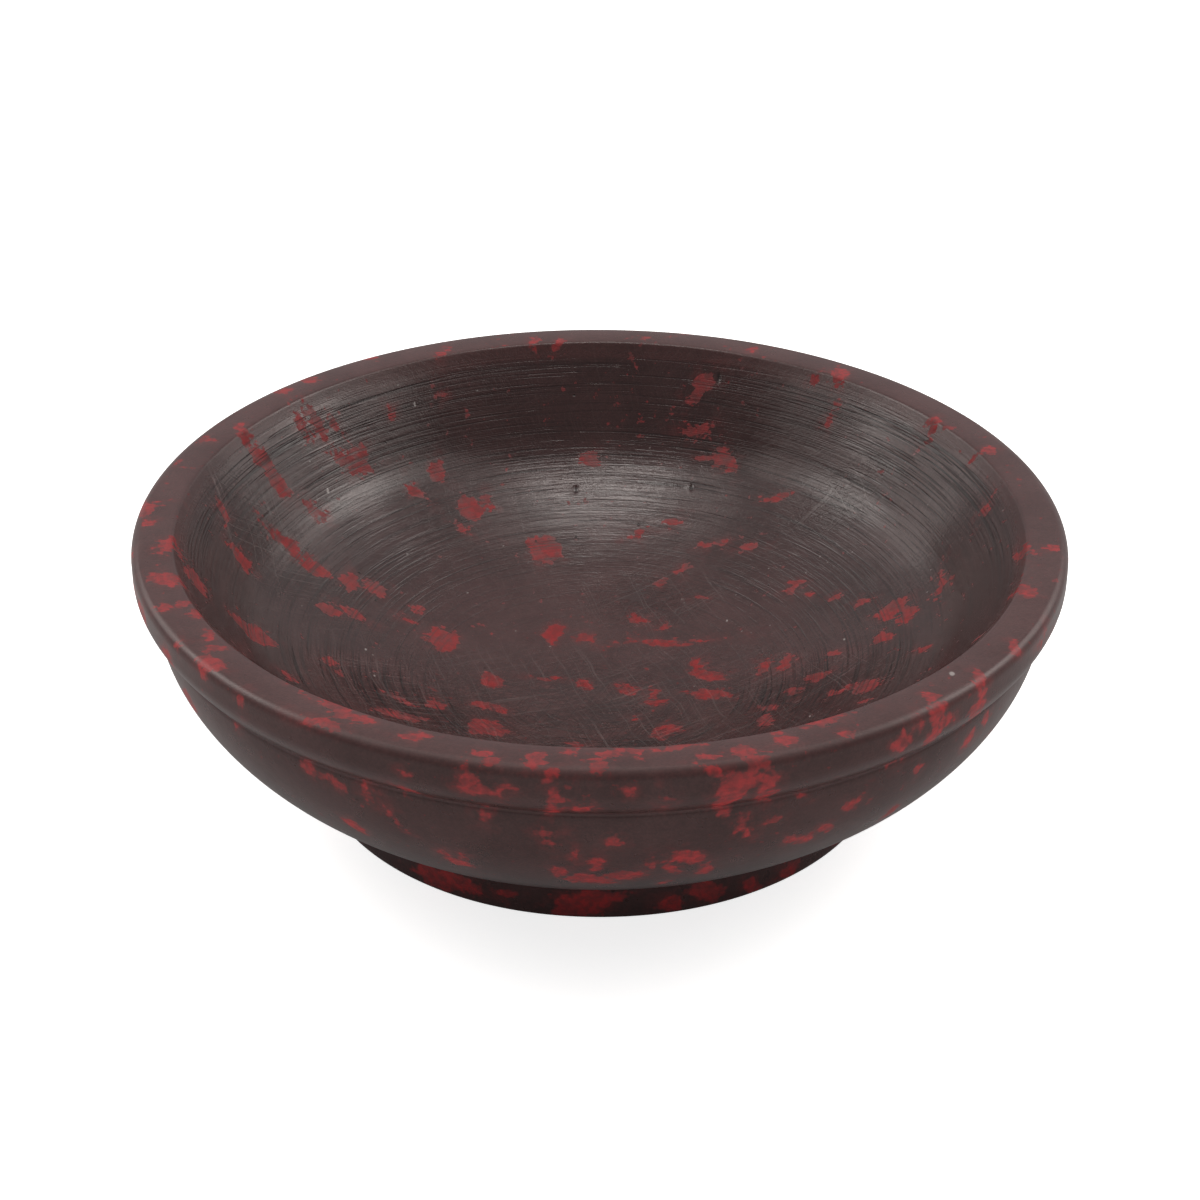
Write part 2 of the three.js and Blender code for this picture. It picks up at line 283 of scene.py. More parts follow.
def inside_runs():
    """Rim, wall, cove and floor, in the same terms. The cove is the arc that touches both wall and floor."""
    down = np.array((-WALL_RUN, -WALL_DROP)) / math.hypot(WALL_RUN, WALL_DROP)
    inward = np.array((down[1], -down[0]))
    rim = np.array((RIM_RADIUS - RIM_WIDTH, HEIGHT))
    turn = math.acos(-down[0])
    edge = (rim[0] + RIM_INNER_EDGE * math.tan(turn / 2), HEIGHT - RIM_INNER_EDGE)
    rounded = arc(edge, RIM_INNER_EDGE, math.pi / 2, math.pi / 2 + turn)

    foot = rim + (-WALL_RUN, -WALL_DROP)
    rise = foot[1] - FLOOR_THICKNESS
    floor_radius = (foot[0] ** 2 + rise ** 2) / (2 * rise)
    floor_centre = np.array((0, FLOOR_THICKNESS + floor_radius))
    offset = rim + inward * COVE_RADIUS - floor_centre
    along = offset @ down
    reach = math.sqrt((floor_radius - COVE_RADIUS) ** 2 - offset @ offset + along ** 2)
    cove_centre = offset + down * (reach - along) + floor_centre
    wall_angle = math.atan2(-inward[1], -inward[0])
    floor_angle = math.atan2(*(cove_centre - floor_centre)[::-1])
    cove = arc(cove_centre, COVE_RADIUS, wall_angle, floor_angle)
    floor = arc(floor_centre, floor_radius, floor_angle, -math.pi / 2)
    middle = next(i for i, p in enumerate(floor) if p[0] < FLOOR_MIDDLE)
    return [
        (RIM, [(RIM_RADIUS - RIM_OUTER_EDGE, HEIGHT), (edge[0], HEIGHT)], 0.4),
        (RIM, rounded, 0.08),
        (WALL, [rounded[-1], cove[0]], 0.42),
        (COVE, cove, 0.42),
        (FLOOR, floor[:middle + 1], 0.47),
        (FLOOR, [p for p in floor[middle:] if p[0] > LAST_STEP], 0.8),
    ]


def section():
    """The section from the middle of the underside to the middle of the floor, with a zone for each point."""
    points, zones = [], []
    for zone, run, step in outside_runs() + inside_runs():
        part = spread(run, step)
        points.append(part)
        zones += [zone] * len(part)
    return np.vstack(points), np.array(zones)


# Seeded noise on a lattice, for hand-turned unevenness and ragged flecks
LATTICE_SIZE = 32
LATTICE = np.random.default_rng(SEED).random((LATTICE_SIZE,) * 3)


def noise(points, scale):
    """Smooth noise from -1 to 1 at points in mm, with features about scale mm across."""
    q = np.asarray(points) / scale + 500
    base = np.floor(q).astype(int)
    f = q - base
    f = f * f * (3 - 2 * f)
    total = 0
    for corner in np.ndindex(2, 2, 2):
        near = np.abs(1 - np.array(corner) - f)
        i, j, k = ((base + corner) % LATTICE_SIZE).T
        total = total + near[:, 0] * near[:, 1] * near[:, 2] * LATTICE[i, j, k]
    return total * 2 - 1


# Flecks
def fleck_field(u, v, flecks):
    """Depth in mm inside the nearest fleck, negative outside. Flecks give centre, length, width and tilt."""
    rng = np.random.default_rng(SEED + 2)
    field = np.full(len(u), NO_FLECK)
    for cx, cy, length, width, tilt in flecks:
        angle = math.radians(tilt + rng.uniform(-12, 12))
        c, s = math.cos(angle), math.sin(angle)
        du, dv = cx - u, cy - v
        along, across = (du * c + dv * s) / (length / 2), (dv * c - du * s) / (width / 2)
        # between a diamond and a rounded box, and leaning, so that no two flecks are alike
        power, lean = rng.uniform(1.0, 2.4), rng.uniform(-0.35, 0.35)
        reach = (np.abs(along) ** power + np.abs(across + lean * along) ** power) ** (1 / power)
        field = np.maximum(field, (1.05 - reach) * min(length, width) / 2)
    return field


def unseen_flecks():
    """Scattered flecks like the seen ones, for the sides that the photograph doesn't show."""
    rng = np.random.default_rng(SEED + 1)
    inside, outside, under = [], [], []

    def shape():
        length = float(np.clip(rng.lognormal(0.55, 0.45), 0.7, 5.0))
        return length, length * float(rng.uniform(0.4, 1.0)), float(rng.uniform(-50, 50))

    while len(inside) < UNSEEN_INSIDE:
        x, y = rng.uniform(-44, 44), rng.uniform(-44, -15)
        if 15 < math.hypot(x, y) < 44.5:
            inside.append((float(x), float(y), *shape()))
    while len(outside) < UNSEEN_OUTSIDE:
        turn, path = rng.uniform(58, 302), rng.uniform(-0.5, 28)
        outside.append((float(turn), float(path), *shape()))
    while len(under) < UNSEEN_UNDER:
        x, y = rng.uniform(-30, 30, 2)
        if math.hypot(x, y) < 30:
            under.append((float(x), float(y), *shape()))
    return inside, outside, under


# Bowl
class Surface:
    """Points of the turned surface, ring by ring from the underside to the floor."""

    def __init__(self):
        self.profile, self.zones = section()
        self.rings = len(self.profile)
        self.radius = np.repeat(self.profile[:, 0], SEGMENTS)
        self.height = np.repeat(self.profile[:, 1], SEGMENTS)
        self.zone = np.repeat(self.zones, SEGMENTS)
        # angle 0 is the front, and it grows to the right
        self.turn = np.tile(np.arange(SEGMENTS) * 2 * math.pi / SEGMENTS, self.rings)
        self.side, self.away = np.sin(self.turn), -np.cos(self.turn)
        self.place = np.column_stack([self.radius * self.side, self.radius * self.away, self.height])
        # path along the section from the underside, and path down from the middle of the rim's outer edge
        self.ring_path = np.concatenate([[0], np.cumsum(np.hypot(*np.diff(self.profile, axis=0).T))])
        self.along = np.repeat(self.ring_path, SEGMENTS)
        self.rim_start = self.ring_path[np.argmax(self.zones == RIM)]
        self.path = self.rim_start - RIM_OUTER_EDGE * math.pi / 4 - self.along


def hand_turned(s):
    """Places of the points, moved by the unevenness of hand turning, by tool marks and by pits."""
    moved = s.place.copy()
    wave = WAVE * noise(s.place, 17) * (s.zone != UNDERSIDE)
    moved[:, 0] += wave * s.side
    moved[:, 1] += wave * s.away
    lift = np.clip((s.height - 4) / 22, 0, 1)
    moved[:, 2] -= LEFT_RISE * s.place[:, 0] * np.where(s.zone >= BELLY, lift, 0)
    moved[:, 2] += np.where(s.zone >= RIM, TOP_WAVE * noise(s.place, 6), 0)
    crown = np.clip(((s.radius - RIM_MIDDLE) / RIM_HALF) ** 2, 0, 1.2) * np.clip((s.height - 26) / 3, 0, 1)
    moved[:, 2] -= np.where(s.zone >= BAND, RIM_CROWN * crown, 0)

    ring = np.repeat(np.random.default_rng(SEED + 3).uniform(-1, 1, s.rings), SEGMENTS)
    swell = noise(np.column_stack([s.along, 2 * s.side, 2 * s.away]), 3.1)
    broken = 0.6 + 0.6 * noise(np.column_stack([s.along, 5 * s.side, 5 * s.away]), 0.9)
    cut = (TOOL_RIPPLE * ring * broken + TOOL_SWELL * swell) * np.clip(s.radius / 20 - 0.4, 0, 1)
    moved[:, 2] += np.where(s.zone >= WALL, cut, 0)
    for x, y, reach, depth in PITS:
        fall = np.clip(1 - np.hypot(s.place[:, 0] - x, s.place[:, 1] - y) / reach, 0, 1)
        moved[:, 2] -= np.where(s.zone >= RIM, depth * fall * fall * (3 - 2 * fall), 0)
    moved[s.zone == UNDERSIDE, 2] = 0
    return moved


def sway(s, shift):
    """Coarse and fine bend in mm, from the part of the noise that the shift picks."""
    return 0.7 * noise(s.place + shift * 57, 2.6) + 0.45 * noise(s.place + shift * 91, 1.1)


def fleck_depth(s):
    """Depth in mm inside the nearest fleck at each point, bent by noise so that no outline is regular."""
    bend_u, bend_v = sway(s, 1), sway(s, 2)
    inside, outside, under = unseen_flecks()
    field = np.full(len(s.place), NO_FLECK)

    def lay(where, u, v, flecks):
        found = fleck_field((u + bend_u)[where], (v + bend_v)[where], flecks)
        field[where] = np.maximum(field[where], found)

    x, y = s.place[:, 0], s.place[:, 1]
    lay(s.zone >= RIM, x, y, RIM_FLECKS + WALL_FLECKS + FLOOR_FLECKS + inside)
    lay(s.zone == UNDERSIDE, x, y, under)
    skin = [
        (math.radians(a) * SKIN_RADIUS, down, *size, -tilt)
        for a, down, *size, tilt in FRONT_FLECKS + outside
    ]
    foot = [(math.radians(a) * FOOT_RADIUS, up, *rest) for a, up, *rest in FOOT_FLECKS]
    # also a full turn either way, so that the flecks run on past the front and the back
    for full_turn in (-2 * math.pi, 0, 2 * math.pi):
        around = s.turn + full_turn
        lay((s.zone >= BELLY) & (s.zone <= RIM), around * SKIN_RADIUS, s.path, skin)
        lay(s.zone == FOOT, around * FOOT_RADIUS, s.height, foot)
    return field


def spots(s, places):
    """From 0 outside to 1 at the middle of each place on the inside and the rim."""
    layer = np.zeros(len(s.place))
    for x, y, reach_x, reach_y in places:
        near = np.clip(1 - np.hypot((s.place[:, 0] - x) / reach_x, (s.place[:, 1] - y) / reach_y), 0, 1)
        layer = np.maximum(layer, np.where(s.zone >= RIM, np.sqrt(near), 0))
    return layer


def surface_marks(s):
    """What the finish reads at each point, by name, with its values at the middle of underside and floor."""
    strength = {UNDERSIDE: 0.5, FOOT: 0.15, BELLY: 0.08, GROOVE: 0.08, BAND: 0.08, RIM: 0.12}
    ring_lines = np.array([strength.get(z, 1.0) for z in s.zones])
    on_floor, on_wall = s.zones == FLOOR, s.zones == WALL
    floor_radius = s.profile[on_floor, 0]
    ring_lines[on_floor] = np.interp(floor_radius, [0, 12, 18, 26, 34], [0.15, 0.25, 0.5, 0.8, 1.0])
    below_rim = s.ring_path - s.ring_path[np.argmax(on_wall)]
    ring_lines[on_wall] = np.interp(below_rim[on_wall], [0, 1.1, 1.9], [0.08, 0.2, 1.0])
    ring_lines = np.convolve(np.pad(ring_lines, 1, mode="edge"), np.ones(3) / 3, mode="valid")
    sides = np.repeat(ring_lines, SEGMENTS)

    # the wall is smoother at the back, and its deep cuts are at its sides
    from_back = np.abs(np.degrees(np.arctan2(s.side, s.away)))
    lines = sides * np.where(s.zone == WALL, 1 - 0.6 * np.exp(-(from_back / 24) ** 2), 1)
    cut_depths = [0, 1.1, 1.8, 4.8, 6.9, 13.4, 16.4]
    ring_cuts = np.interp(below_rim, cut_depths, [0, 0.1, 1, 1, 0.4, 0.2, 0])
    flank = 0.35 + 0.65 * np.exp(-((from_back - 62) / 26) ** 2)
    cuts = np.where(s.zone >= WALL, np.repeat(ring_cuts, SEGMENTS) * flank, 0)

    # the rim's outer edge is dull at the front
    from_front = np.abs(np.degrees(np.arctan2(s.side, -s.away)))
    dull = np.exp(-(from_front / 42) ** 2)
    worn_edge = np.exp(-((s.path + 0.2) / 0.9) ** 2) * dull * (s.zone >= BAND)
    inner_edge = np.where(s.zone == RIM, np.clip((INNER_START - s.radius) / INNER_BLEND, 0, 1), 0.0)
    return {
        "fleck": (fleck_depth(s), [NO_FLECK, NO_FLECK]),
        "lines": (lines, [0.4, 0.1]),
        "sides": (sides, [0, 0]),
        "cuts": (cuts, [0, 0]),
        "rubbed": (spots(s, SCUFFS), [0, 0]),
        "grime": (spots(s, GRIME_AND_SHADE), [0, 0]),
        "worn_edge": (worn_edge, [0, 0]),
        "inner": (np.where(s.zone >= WALL, 1.0, inner_edge), [0, 1]),
        "outer": (np.where(s.zone < RIM, np.clip((s.path + 0.3) / 0.6, 0, 1), 0.0), [1, 0]),
    }


def closed_mesh(places, rings):
    """Mesh of places in mm: quads between the rings, and a fan at each end of the section."""
    ends = [(0, 0, 0), (0, 0, FLOOR_THICKNESS)]
    first, last = len(places), len(places) + 1
    end = (rings - 1) * SEGMENTS
    faces = []
    for s in range(SEGMENTS):
        t = (s + 1) % SEGMENTS
        faces.append((first, t, s))
        for a in range(0, end, SEGMENTS):
            b = a + SEGMENTS
            faces.append((a + s, a + t, b + t, b + s))
        faces.append((end + s, end + t, last))
    mesh = bpy.data.meshes.new("bowl_stone")
    mesh.from_pydata(np.vstack([places, ends]) * MM, [], faces)
    mesh.polygons.foreach_set("use_smooth", [True] * len(mesh.polygons))
    return mesh


def texture_layout(mesh, s):
    """Two discs as texture layout: underside and outside in one, rim and inside in the other."""
    total = s.along[-1] + LAST_STEP
    outer_reach, inner_reach = s.rim_start, total - s.rim_start
    unit = 0.97 / (total * (1 + math.sqrt(0.5)))
    outer_centre = np.array((0.012 + outer_reach * unit,) * 2)
    inner_centre = np.array((0.988 - inner_reach * unit,) * 2)
    spin = np.column_stack([s.side, s.away])
    outer_uv = np.vstack([outer_centre + spin * (s.along * unit)[:, None], [outer_centre] * 2])
    inner_uv = np.vstack([inner_centre + spin * ((total - s.along) * unit)[:, None], [inner_centre] * 2])

    def read(items, name):
        values = np.empty(len(items), int)
        items.foreach_get(name, values)
        return values

    loop_vert = read(mesh.loops, "vertex_index")
    loop_start, loop_count = read(mesh.polygons, "loop_start"), read(mesh.polygons, "loop_total")
    vert_ring = np.concatenate([np.repeat(np.arange(s.rings), SEGMENTS), [-1, s.rings]])
    lowest_ring = np.minimum.reduceat(vert_ring[loop_vert], loop_start)
    on_top = np.repeat(lowest_ring >= np.argmax(s.zones == RIM), loop_count)
    coords = np.where(on_top[:, None], inner_uv[loop_vert], outer_uv[loop_vert])
    mesh.uv_layers.new(name="OFBake").data.foreach_set("uv", coords.astype(np.float32).ravel())


def make_bowl():
    """The whole bowl as one closed turned mesh, with the attributes that its finish reads."""
    s = Surface()
    mesh = closed_mesh(hand_turned(s), s.rings)
    for name, (values, ends) in surface_marks(s).items():
        layer = mesh.attributes.new(name, "FLOAT", "POINT")
        layer.data.foreach_set("value", np.concatenate([values, ends]).astype(np.float32))
    # coordinates along the section and around the axis, for the turning lines
    turning = np.column_stack([s.along, TURNING_RADIUS * s.side, TURNING_RADIUS * s.away])
    turning = np.vstack([turning, [(0, 0, 0), (s.along[-1] + LAST_STEP, 0, 0)]])
    layer = mesh.attributes.new("turning", "FLOAT_VECTOR", "POINT")
    layer.data.foreach_set("vector", turning.astype(np.float32).ravel())
    texture_layout(mesh, s)
    mesh.validate()
    bowl = bpy.data.objects.new("bowl_stone", mesh)
    bpy.context.collection.objects.link(bowl)
    return bowl


# Materials
class Nodes:
    """Short forms for building one node tree."""

    def __init__(self, tree):
        self.tree = tree
        tree.nodes.clear()

    def new(self, kind, **settings):
        node = self.tree.nodes.new(kind)
        for name, value in settings.items():
            setattr(node, name, value)
        return node

    def put(self, socket, value):
        if isinstance(value, bpy.types.NodeSocket):
            self.tree.links.new(value, socket)
        else:
            socket.default_value = value

    def attribute(self, name, out="Fac"):
        return self.new("ShaderNodeAttribute", attribute_name=name).outputs[out]

    def math(self, kind, a, b=0.0, c=0.0):
        node = self.new("ShaderNodeMath", operation=kind)
        for socket, value in zip(node.inputs, (a, b, c)):
            self.put(socket, value)
        return node.outputs[0]

    def times(self, a, b):
        return self.math("MULTIPLY", a, b)

    def line(self, value, slope, start):
        """Slope times value, plus start."""
        return self.math("MULTIPLY_ADD", value, slope, start)

    def scaled(self, vector, factor):
        node = self.new("ShaderNodeVectorMath", operation="MULTIPLY")
        self.put(node.inputs[0], vector)
        self.put(node.inputs[1], factor)
        return node.outputs[0]

    def distance(self, vector, point):
        node = self.new("ShaderNodeVectorMath", operation="DISTANCE")
        self.put(node.inputs[0], vector)
        self.put(node.inputs[1], point)
        return node.outputs["Value"]

    def turned(self, vector, degrees, stretch):
        """Coordinates turned about Z, then scaled along each of the turned axes."""
        node = self.new("ShaderNodeMapping", vector_type="TEXTURE")
        self.put(node.inputs["Vector"], vector)
        node.inputs["Rotation"].default_value = (0, 0, math.radians(degrees))
        node.inputs["Scale"].default_value = [1 / s for s in stretch]
        return node.outputs[0]

    def bent(self, vector, scale, amount):
        """Coordinates swayed by up to half of amount."""
        sway = self.new("ShaderNodeTexNoise")
        self.put(sway.inputs["Vector"], vector)
        sway.inputs["Scale"].default_value = scale
        node = self.new("ShaderNodeVectorMath", operation="MULTIPLY_ADD")
        self.put(node.inputs[0], sway.outputs["Color"])
        node.inputs[1].default_value = (amount,) * 3
        self.put(node.inputs[2], vector)
        return node.outputs[0]

    def noise(self, vector, scale, detail=2.0, rough=0.5):
        node = self.new("ShaderNodeTexNoise")
        self.put(node.inputs["Vector"], vector)
        node.inputs["Scale"].default_value = scale
        node.inputs["Detail"].default_value = detail
        node.inputs["Roughness"].default_value = rough
        return node.outputs["Fac"]

    def cells(self, vector, scale):
        node = self.new("ShaderNodeTexVoronoi")
        self.put(node.inputs["Vector"], vector)
        node.inputs["Scale"].default_value = scale
        return node.outputs

    def red_of(self, colour):
        node = self.new("ShaderNodeSeparateColor")
        self.put(node.inputs[0], colour)
        return node.outputs[0]

    def ramp(self, value, low, high, to_low=0.0, to_high=1.0):
        node = self.new("ShaderNodeMapRange", interpolation_type="SMOOTHSTEP")
        for socket, v in zip(node.inputs, (value, low, high, to_low, to_high)):
            self.put(socket, v)
        return node.outputs[0]

    def mix(self, factor, a, b):
        node = self.new("ShaderNodeMix", data_type="RGBA")
        self.put(node.inputs["Factor"], factor)
        for socket, value in zip([s for s in node.inputs if s.type == "RGBA"], (a, b)):
            self.put(socket, value if isinstance(value, bpy.types.NodeSocket) else (*value, 1))
        return [s for s in node.outputs if s.type == "RGBA"][0]


class Stone(Nodes):
    """Waxed soapstone: maroon brown ground, ragged red flecks, turning lines, fine scratches and dust."""

    def __init__(self, tree):
        super().__init__(tree)
        self.place = self.scaled(self.new("ShaderNodeTexCoord").outputs["Object"], (1 / MM,) * 3)
        self.turning = self.attribute("turning", "Vector")
        for name in ("fleck", "lines", "sides", "cuts", "rubbed", "grime", "worn_edge", "inner", "outer"):
            setattr(self, name, self.attribute(name))
        self.not_outer = self.math("SUBTRACT", 1.0, self.outer)
        self.fine = self.noise(self.place, 1.3, 3.0, 0.6)
        self.tone = self.noise(self.place, 0.5, 3.0, 0.6)

    def along_turns(self, across, around, detail=1.0, rough=0.5):
        """Noise drawn out around the axis: features per mm across the turning lines and along them."""
        return self.noise(self.scaled(self.turning, (across, around, around)), 1.0, detail, rough)

    def make_lines(self):
        """Thin cut lines and finer hair lines, stronger at the places of dirt and painted shade, and deep
        cuts on the wall.
        """
        lined = self.math("MAXIMUM", self.lines, self.times(self.grime, 0.95))
        self.thin = self.times(self.ramp(self.along_turns(3.1, 0.045), 0.58, 0.65), lined)
        self.hair = self.times(self.ramp(self.along_turns(5.0, 0.05), 0.56, 0.62), lined)
        self.deep = self.times(self.ramp(self.along_turns(3.4, 0.06), 0.54, 0.62), self.cuts)

    def make_flecks(self):
        """Red flecks: the laid-out ones with torn edges, and small ones scattered through the stone."""
        torn = self.noise(self.turned(self.place, -6, (0.7, 1.6, 1.15)), 1.0, 4.0, 0.66)
        self.torn = self.line(torn, 2.2, -1.1)
        chips = self.line(self.cells(self.place, 1.5)["Distance"], -0.55, 0.42)
        # outside the edges are smoother and softer than inside
        edge = self.times(self.torn, self.line(self.outer, -0.45, 1.0))
        depth = self.math("ADD", edge, self.line(self.outer, -0.12, chips))
        depth = self.math("ADD", self.fleck, depth)
        laid = self.ramp(depth, self.line(self.outer, -0.20, -0.06), self.line(self.outer, 0.18, 0.12))
        crowd = self.line(self.noise(self.place, 0.11, 1.0), 0.24, -0.12)
        small = self.ramp(self.math("ADD", self.noise(self.place, 0.85, 3.0, 0.6), crowd), 0.66, 0.74)
        red = self.math("MAXIMUM", laid, self.times(small, self.line(self.outer, -0.35, 0.75)))
        red = self.times(red, self.ramp(self.tone, 0.34, 0.60, 0.56, 1.0))
        self.red = self.times(red, self.math("SUBTRACT", 1.0, self.times(self.thin, 0.45)))

    def make_scratches(self):
        """Fine crossing scratches where the inside was rubbed, some dark and some pale."""
        swayed = self.bent(self.place, 0.07, 4.0)
        worn = self.line(self.rubbed, 0.85, self.times(self.inner, 0.15))

        def strokes(sets, low, high):
            found = 0.0
            for degrees, along, across in sets:
                drawn = self.noise(self.turned(swayed, degrees, (along, across, 0.1)), 1.0, 0.0)
                found = self.math("MAXIMUM", found, self.ramp(drawn, low, high))
            return self.times(found, worn)

        # direction in degrees, then features per mm along the strokes and across them
        dark_sets = [(-44, 0.12, 6.0), (12, 0.14, 5.4), (64, 0.12, 6.4), (-11, 0.16, 5.8)]
        pale_sets = [(-70, 0.06, 5.2), (28, 0.07, 5.6)]
        self.dark_strokes = strokes(dark_sets, 0.605, 0.65)
        self.pale_strokes = strokes(pale_sets, 0.66, 0.73)
        self.scratch = self.math("MAXIMUM", self.dark_strokes, self.pale_strokes)

    def make_marks(self):
        """Pinholes and dust scattered inside, then the pits and palest specks at places of their own."""
        hole_cells = self.cells(self.place, 0.40)
        dust_cells = self.cells(self.turned(self.place, 30, (0.8, 1.4, 1.1)), 0.52)

        def scattered(cells, low, high, chosen):
            dot = self.ramp(cells["Distance"], low, high, 1.0, 0.0)
            return self.times(dot, self.math("GREATER_THAN", self.red_of(cells["Color"]), chosen))

        # pinholes, painted dark below as the shade in them
        self.pinhole_and_shade = self.times(scattered(hole_cells, 0.035, 0.075, 0.74), self.inner)
        self.speck = self.times(scattered(dust_cells, 0.040, 0.075, 0.80), self.line(self.inner, 0.5, 0.05))

        # these marks are a little longer from front to back
        squash = 0.6
        flat = self.scaled(self.place, (1, squash, 0))

        def placed(dots, core):
            nearest = 9.0
            for x, y, reach in dots:
                away = self.math("DIVIDE", self.distance(flat, (x, squash * y, 0)), reach)
                nearest = self.math("MINIMUM", nearest, away)
            return self.times(self.ramp(nearest, core, 1.05, 1.0, 0.0), self.not_outer)

        self.chip = placed(SPECKS, 0.6)
        # the pits' middles, painted dark below as their shadow
        cores = [(x, y, 0.5 * reach) for x, y, reach, depth in PITS]
        self.pit_and_shadow = self.times(placed(cores, 0.0), self.inner)

    def ground(self):
        """Ground colour of floor, wall and outside, with a dark grain."""
        shade = self.ramp(self.line(self.fine, 0.35, self.noise(self.place, 0.16, 4.0, 0.6)), 0.42, 0.92)
        floor, wall = self.mix(shade, FLOOR_DEEP, FLOOR_PALE), self.mix(shade, WALL_DEEP, WALL_PALE)
        # the wall is as pale as the floor at the places where its lines are darkened by dirt and painted
        # shade
        on_wall = self.ramp(self.line(self.grime, -0.6, self.sides), 0.5, 1.0)
        inside = self.mix(on_wall, floor, wall)
        ground = self.mix(self.inner, self.mix(shade, OUTER_DEEP, OUTER_PALE), inside)
        grain = self.ramp(self.noise(self.place, 3.4, 3.0, 0.7), 0.38, 0.62, 0.0, 0.22)
        return self.mix(grain, ground, SOOT_AND_SHADE)

    def fleck_colour(self):
        """Colour of the flecks, mottled, on the rim, on the inside and on the outside."""
        bright = self.ramp(self.fine, 0.36, 0.60)
        rim, inside = self.mix(bright, RIM_RED_DULL, RIM_RED), self.mix(bright, INNER_RED_DULL, INNER_RED)
        outside = self.mix(bright, OUTER_RED_DULL, OUTER_RED)
        return self.mix(self.outer, self.mix(self.inner, rim, inside), outside)

    def colour(self):
        """Flecks on the ground with a faint red haze, then dirt and painted shade in lines, scratches, holes
        and pits, and dust.
        """
        fleck_colour = self.fleck_colour()
        haze = self.ramp(self.line(self.torn, 0.8, self.fleck), -1.5, 0.1, 0.0, 0.20)
        colour = self.mix(self.times(haze, self.ramp(self.tone, 0.40, 0.65)), self.ground(), fleck_colour)
        colour = self.mix(self.red, colour, fleck_colour)
        # dirt and painted shade in the thin and hair lines, darkest at the places of dirt and painted shade
        dirt_and_shade_in_lines = self.times(self.hair, self.line(self.grime, 0.55, 0.25))
        dirt_and_shade_in_lines = self.math("MULTIPLY_ADD", self.thin, self.line(self.grime, 0.50, 0.40), dirt_and_shade_in_lines)
        colour = self.mix(self.times(self.math("MINIMUM", dirt_and_shade_in_lines, 1.0), self.inner), colour, SOOT_AND_SHADE)
        # the dark scratches are painted darker, with dirt and painted shade in them: more at those places and
        # where the turning lines are weak, less on the flecks
        scratch_dirt_and_shade = self.math("MAXIMUM", self.grime, self.math("SUBTRACT", 1.0, self.sides))
        scratch_dirt_and_shade = self.times(self.line(scratch_dirt_and_shade, 0.55, 0.15), self.line(self.red, -0.6, 1.0))
        colour = self.mix(self.times(self.dark_strokes, scratch_dirt_and_shade), colour, SOOT_AND_SHADE)
        layers = [
            (self.pale_strokes, 0.12, DUST),
            # painted shade in the deep cuts
            (self.deep, 0.7, SOOT_AND_SHADE),
            # painted shade in the pinholes
            (self.pinhole_and_shade, 0.85, SOOT_AND_SHADE),
            (self.speck, 1.0, DUST),
            (self.chip, 0.75, DUST),
            # a painted shadow in the middle of each pit
            (self.pit_and_shadow, 0.8, SOOT_AND_SHADE),
        ]
        for where, strength, paint in layers:
            colour = self.mix(self.times(where, strength), colour, paint)
        return colour

    def height(self):
        """Height in mm: a faint ripple, lines, scratches and marks, and flecks a hair below the ground."""
        fine_lines = self.along_turns(5.2, 0.035, 2.0, 0.6)
        mid_lines = self.along_turns(2.2, 0.03, 2.0, 0.55)
        broad_lines = self.along_turns(0.7, 0.02)
        ripple = self.line(fine_lines, 0.018, self.times(mid_lines, 0.012))
        height = self.times(self.line(broad_lines, 0.03, ripple), self.lines)
        layers = [
            (self.thin, self.line(self.grime, -0.040, -0.016)),
            (self.hair, self.line(self.grime, -0.045, -0.008)),
            (self.deep, -0.045),
            (self.pinhole_and_shade, -0.05),
            (self.pit_and_shadow, -0.12),
            (self.noise(self.place, 4.0, 3.0, 0.65), 0.014),
            (self.noise(self.place, 0.55, 2.0), 0.02),
            (self.scratch, self.line(self.grime, -0.030, -0.030)),
            (self.red, -0.004),
        ]
        for where, depth in layers:
            height = self.line(where, depth, height)
        return height

    def gloss(self):
        """Roughness of the satin wax: low along turning lines, higher on flecks, scratches and worn edge."""
        gloss = self.ramp(self.sides, 0.1, 0.9, 0.25, 0.09)
        gloss = self.line(self.noise(self.place, 0.5, 3.0), 0.07, gloss)
        gloss = self.line(self.red, self.line(self.inner, 0.40, 0.14), gloss)
        gloss = self.line(self.scratch, 0.12, gloss)
        return self.line(self.worn_edge, 0.30, gloss)


def stone_material():
    material = bpy.data.materials.new("stone")
    material.use_nodes = True
    n = Stone(material.node_tree)
    n.make_lines()
    n.make_flecks()
    n.make_scratches()
    n.make_marks()
    bump = n.new("ShaderNodeBump")
    bump.inputs["Strength"].default_value = 1.0
    bump.inputs["Distance"].default_value = MM
    n.put(bump.inputs["Height"], n.height())
    shader = n.new("ShaderNodeBsdfPrincipled")
    n.put(shader.inputs["Base Color"], n.colour())
    n.put(shader.inputs["Roughness"], n.gloss())
    n.put(shader.inputs["Normal"], bump.outputs[0])
    shader.inputs["IOR"].default_value = 1.45
    out = n.new("ShaderNodeOutputMaterial")
    n.put(out.inputs["Surface"], shader.outputs[0])
    return material


